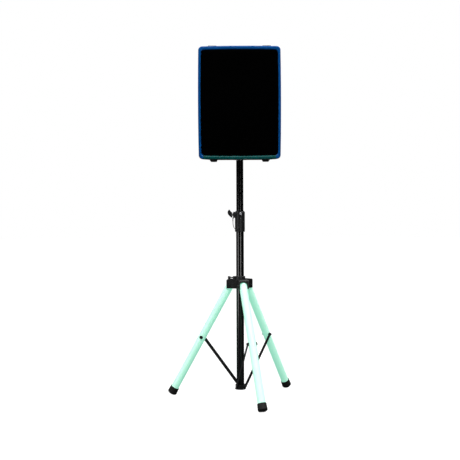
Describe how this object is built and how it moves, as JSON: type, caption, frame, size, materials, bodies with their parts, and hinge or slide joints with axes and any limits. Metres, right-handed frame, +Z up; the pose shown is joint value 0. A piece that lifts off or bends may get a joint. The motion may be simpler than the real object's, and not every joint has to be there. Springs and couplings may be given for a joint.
{
  "type": "pa speaker on tripod stand",
  "caption": "Loudspeaker cabinet with a blue and teal front bead on a folding tripod stand whose tubular legs light up.",
  "frame": {"origin": "on the floor under the pole's axis", "axes": "+Z up along the pole, the speaker faces -Y, +X to the right of someone facing the speaker's front from -Y"},
  "size_m": [0.6293, 0.6403, 1.7245],
  "materials": {
    "black_tube": "gloss black powder coat",
    "black_nylon": "satin moulded nylon",
    "black_steel": "black coated steel",
    "zinc_steel": "zinc plated",
    "lanyard_cord": "braided cord",
    "light_tube": "frosted mint diffuser tube, lit from inside",
    "led_strip": "light strip",
    "soft_rubber": "moulded rubber",
    "cabinet_plastic": "textured moulded cabinet",
    "blue_gloss": "gloss blue bead",
    "teal_gloss": "gloss dark teal bead",
    "grille_steel": "black perforated steel",
    "cone_paper": "pressed paper cone",
    "panel_aluminium": "black anodised",
    "circuit_board": "circuit board",
    "switch_plastic": "gloss red rocker"
  },
  "bodies": {
    "stand": {"main_tube": "black_tube", "tube_end_plug": "black_nylon", "bottom_collar": "black_nylon", "collar_rivets": "black_steel", "height_clamp": "black_nylon", "clamp_bush": "black_nylon", "pin_lanyard": "lanyard_cord"},
    "strut_1": {"strut_1": "black_steel"},
    "strut_2": {"strut_2": "black_steel"},
    "strut_3": {"strut_3": "black_steel"},
    "leg_1": {"leg_tube_1": "light_tube", "leg_led_strip_1": "led_strip", "leg_top_plug_1": "light_tube", "leg_bolt_1": "black_steel", "leg_foot_1": "soft_rubber"},
    "leg_2": {"leg_tube_2": "light_tube", "leg_led_strip_2": "led_strip", "leg_top_plug_2": "light_tube", "leg_bolt_2": "black_steel", "leg_foot_2": "soft_rubber"},
    "leg_3": {"leg_tube_3": "light_tube", "leg_led_strip_3": "led_strip", "leg_top_plug_3": "light_tube", "leg_bolt_3": "black_steel", "leg_foot_3": "soft_rubber"},
    "hub": {"hub_body": "black_nylon", "hub_clamp_ring": "black_nylon", "hub_pivot_pins": "black_steel"},
    "hub_knob": {"hub_knob": "black_nylon"},
    "clamp_knob": {"clamp_knob": "black_nylon"},
    "locking_pin": {"locking_pin": "zinc_steel"},
    "mast": {"upper_pole": "black_tube", "pole_bottom_bush": "black_nylon"},
    "cabinet": {"cabinet_shell": "cabinet_plastic", "front_rim": "blue_gloss", "front_rim_lower": "teal_gloss", "grille": "grille_steel", "front_baffle": "cabinet_plastic", "woofer_frame": "black_steel", "woofer_surround": "soft_rubber", "woofer_magnet": "zinc_steel", "woofer_screws": "black_steel", "horn_flare": "cabinet_plastic", "compression_driver": "zinc_steel", "port_tubes": "cabinet_plastic", "rear_panel": "panel_aluminium", "heat_sink": "panel_aluminium", "input_sockets": "black_nylon", "mains_inlet": "black_nylon", "amp_board": "circuit_board", "panel_screws": "zinc_steel", "side_handles": "cabinet_plastic", "cabinet_feet": "soft_rubber", "top_pads": "soft_rubber", "pole_socket": "zinc_steel"},
    "woofer_cone": {"woofer_cone": "cone_paper"},
    "knob_volume": {"knob_volume": "black_nylon"},
    "knob_bass": {"knob_bass": "black_nylon"},
    "knob_treble": {"knob_treble": "black_nylon"},
    "power_switch": {"power_switch": "switch_plastic"}
  },
  "joints": [
    {"name": "tripod_fold", "type": "hinge", "parent": "stand", "child": "strut_1", "pos_m": [-0.01888, -0.01623, 0.056], "axis": [-0.9563, -0.2924, 0], "range_deg": [0, 28.75]},
    {"name": "leg_1_fold", "type": "hinge", "parent": "strut_1", "child": "leg_1", "pos_m": [0.05734, -0.18756, 0.29782], "axis": [-0.9563, -0.2924, 0], "range_deg": [-56.4, 0]},
    {"name": "hub_rise", "type": "hinge", "parent": "leg_1", "child": "hub", "pos_m": [0.01462, -0.04782, 0.562], "axis": [-0.9563, -0.2924, 0], "range_deg": [0, 27.65]},
    {"name": "leg_2_fold", "type": "hinge", "parent": "hub", "child": "leg_2", "pos_m": [0.0341, 0.03657, 0.562], "axis": [0.7314, -0.682, 0], "range_deg": [-27.65, 0]},
    {"name": "strut_2_fold", "type": "hinge", "parent": "stand", "child": "strut_2", "pos_m": [0.02349, -0.00824, 0.056], "axis": [0.7314, -0.682, 0], "range_deg": [0, 28.95]},
    {"name": "leg_3_fold", "type": "hinge", "parent": "hub", "child": "leg_3", "pos_m": [-0.04872, 0.01125, 0.562], "axis": [0.225, 0.9744, 0], "range_deg": [-27.65, 0]},
    {"name": "strut_3_fold", "type": "hinge", "parent": "stand", "child": "strut_3", "pos_m": [-0.00462, 0.02447, 0.056], "axis": [0.225, 0.9744, 0], "range_deg": [0, 28.95]},
    {"name": "hub_knob_turn", "type": "hinge", "parent": "hub", "child": "hub_knob", "pos_m": [-0.05, 0, 0.6005], "axis": [-1, 0, 0], "range_deg": [0, 720]},
    {"name": "clamp_knob_turn", "type": "hinge", "parent": "stand", "child": "clamp_knob", "pos_m": [-0.045, 0, 0.911], "axis": [-1, 0, 0], "range_deg": [0, 360]},
    {"name": "locking_pin_push", "type": "slide", "parent": "stand", "child": "locking_pin", "axis": [-0.0872, 0.9962, 0], "range_m": [0, 0.012]},
    {"name": "mast_height", "type": "slide", "parent": "stand", "child": "mast", "axis": [0, 0, 1], "range_m": [-0.2, 0.3]},
    {"name": "cabinet_swivel", "type": "hinge", "parent": "mast", "child": "cabinet", "pos_m": [0, 0, 1.2], "axis": [0, 0, 1], "continuous": true},
    {"name": "woofer_stroke", "type": "slide", "parent": "cabinet", "child": "woofer_cone", "axis": [0, -1, 0], "range_m": [-0.005, 0.005], "stiffness_N_per_m": 2500},
    {"name": "volume_turn", "type": "hinge", "parent": "cabinet", "child": "knob_volume", "pos_m": [-0.066, 0.17, 1.576], "axis": [0, 1, 0], "range_deg": [-150, 150]},
    {"name": "bass_turn", "type": "hinge", "parent": "cabinet", "child": "knob_bass", "pos_m": [-0.024, 0.17, 1.576], "axis": [0, 1, 0], "range_deg": [-150, 150]},
    {"name": "treble_turn", "type": "hinge", "parent": "cabinet", "child": "knob_treble", "pos_m": [0.018, 0.17, 1.576], "axis": [0, 1, 0], "range_deg": [-150, 150]},
    {"name": "power_rocker", "type": "hinge", "parent": "cabinet", "child": "power_switch", "pos_m": [0.066, 0.159, 1.352], "axis": [-1, 0, 0], "range_deg": [-16, 0]}
  ],
  "couplings": [
    {"joint": "leg_1_fold", "follows": "tripod_fold", "ratio": -1.9547},
    {"joint": "hub_rise", "follows": "tripod_fold", "ratio": 0.95474},
    {"joint": "leg_2_fold", "follows": "tripod_fold", "ratio": -0.95474},
    {"joint": "strut_2_fold", "follows": "tripod_fold", "ratio": 1},
    {"joint": "leg_3_fold", "follows": "tripod_fold", "ratio": -0.95474},
    {"joint": "strut_3_fold", "follows": "tripod_fold", "ratio": 1}
  ]
}
